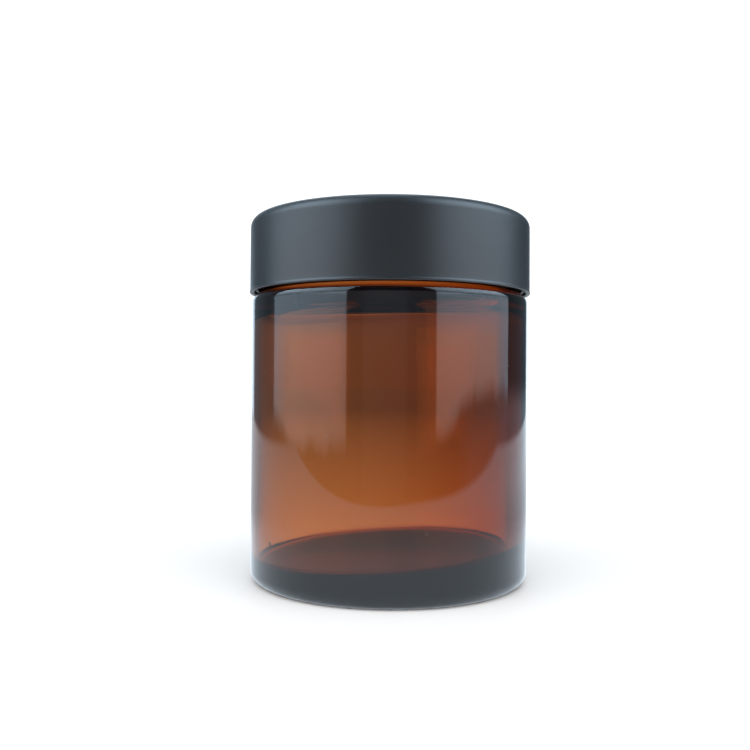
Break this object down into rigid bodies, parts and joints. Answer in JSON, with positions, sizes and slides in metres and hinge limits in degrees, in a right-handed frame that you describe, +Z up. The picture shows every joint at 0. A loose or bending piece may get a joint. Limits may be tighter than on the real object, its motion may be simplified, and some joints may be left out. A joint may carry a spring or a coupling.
{
  "type": "cosmetic cream jar",
  "caption": "Straight-sided amber glass cream jar with a thick base, a smooth matte black double-walled screw lid, a foam liner and a lift-out sealing disc.",
  "frame": {"origin": "centre of the jar's foot, on the surface it stands on", "axes": "+Z up along the jar's axis; +X and +Y across it, with the disc's grip towards +Y"},
  "size_m": [0.0744, 0.0744, 0.0952],
  "materials": {
    "amber_glass": "clear amber container glass, fire-polished",
    "disc_plastic": "black polyethylene, satin",
    "liner_foam": "white closed-cell polyethylene foam",
    "insert_plastic": "black moulded polypropylene, satin",
    "shell_plastic": "black moulded plastic, smooth matte"
  },
  "bodies": {
    "jar": {"glass_jar": "amber_glass"},
    "disc": {"sealing_disc": "disc_plastic"},
    "liner": {"foam_liner": "liner_foam"},
    "cap": {"cap_insert": "insert_plastic", "cap_shell": "shell_plastic"}
  },
  "joints": [
    {"name": "cap_rise", "type": "slide", "parent": "jar", "child": "liner", "axis": [0, 0, 1], "range_m": [0, 0.01694]},
    {"name": "cap_turn", "type": "hinge", "parent": "liner", "child": "cap", "pos_m": [0, 0, 0.0753], "axis": [0, 0, 1], "range_deg": [0, 1440]},
    {"name": "disc_lift", "type": "slide", "parent": "jar", "child": "disc", "axis": [0, 0, 1], "range_m": [0, 0.00847]}
  ],
  "couplings": [
    {"joint": "cap_rise", "follows": "cap_turn", "m_per_rad": 0.00067375},
    {"joint": "disc_lift", "follows": "cap_turn", "m_per_rad": 0.00033688}
  ]
}
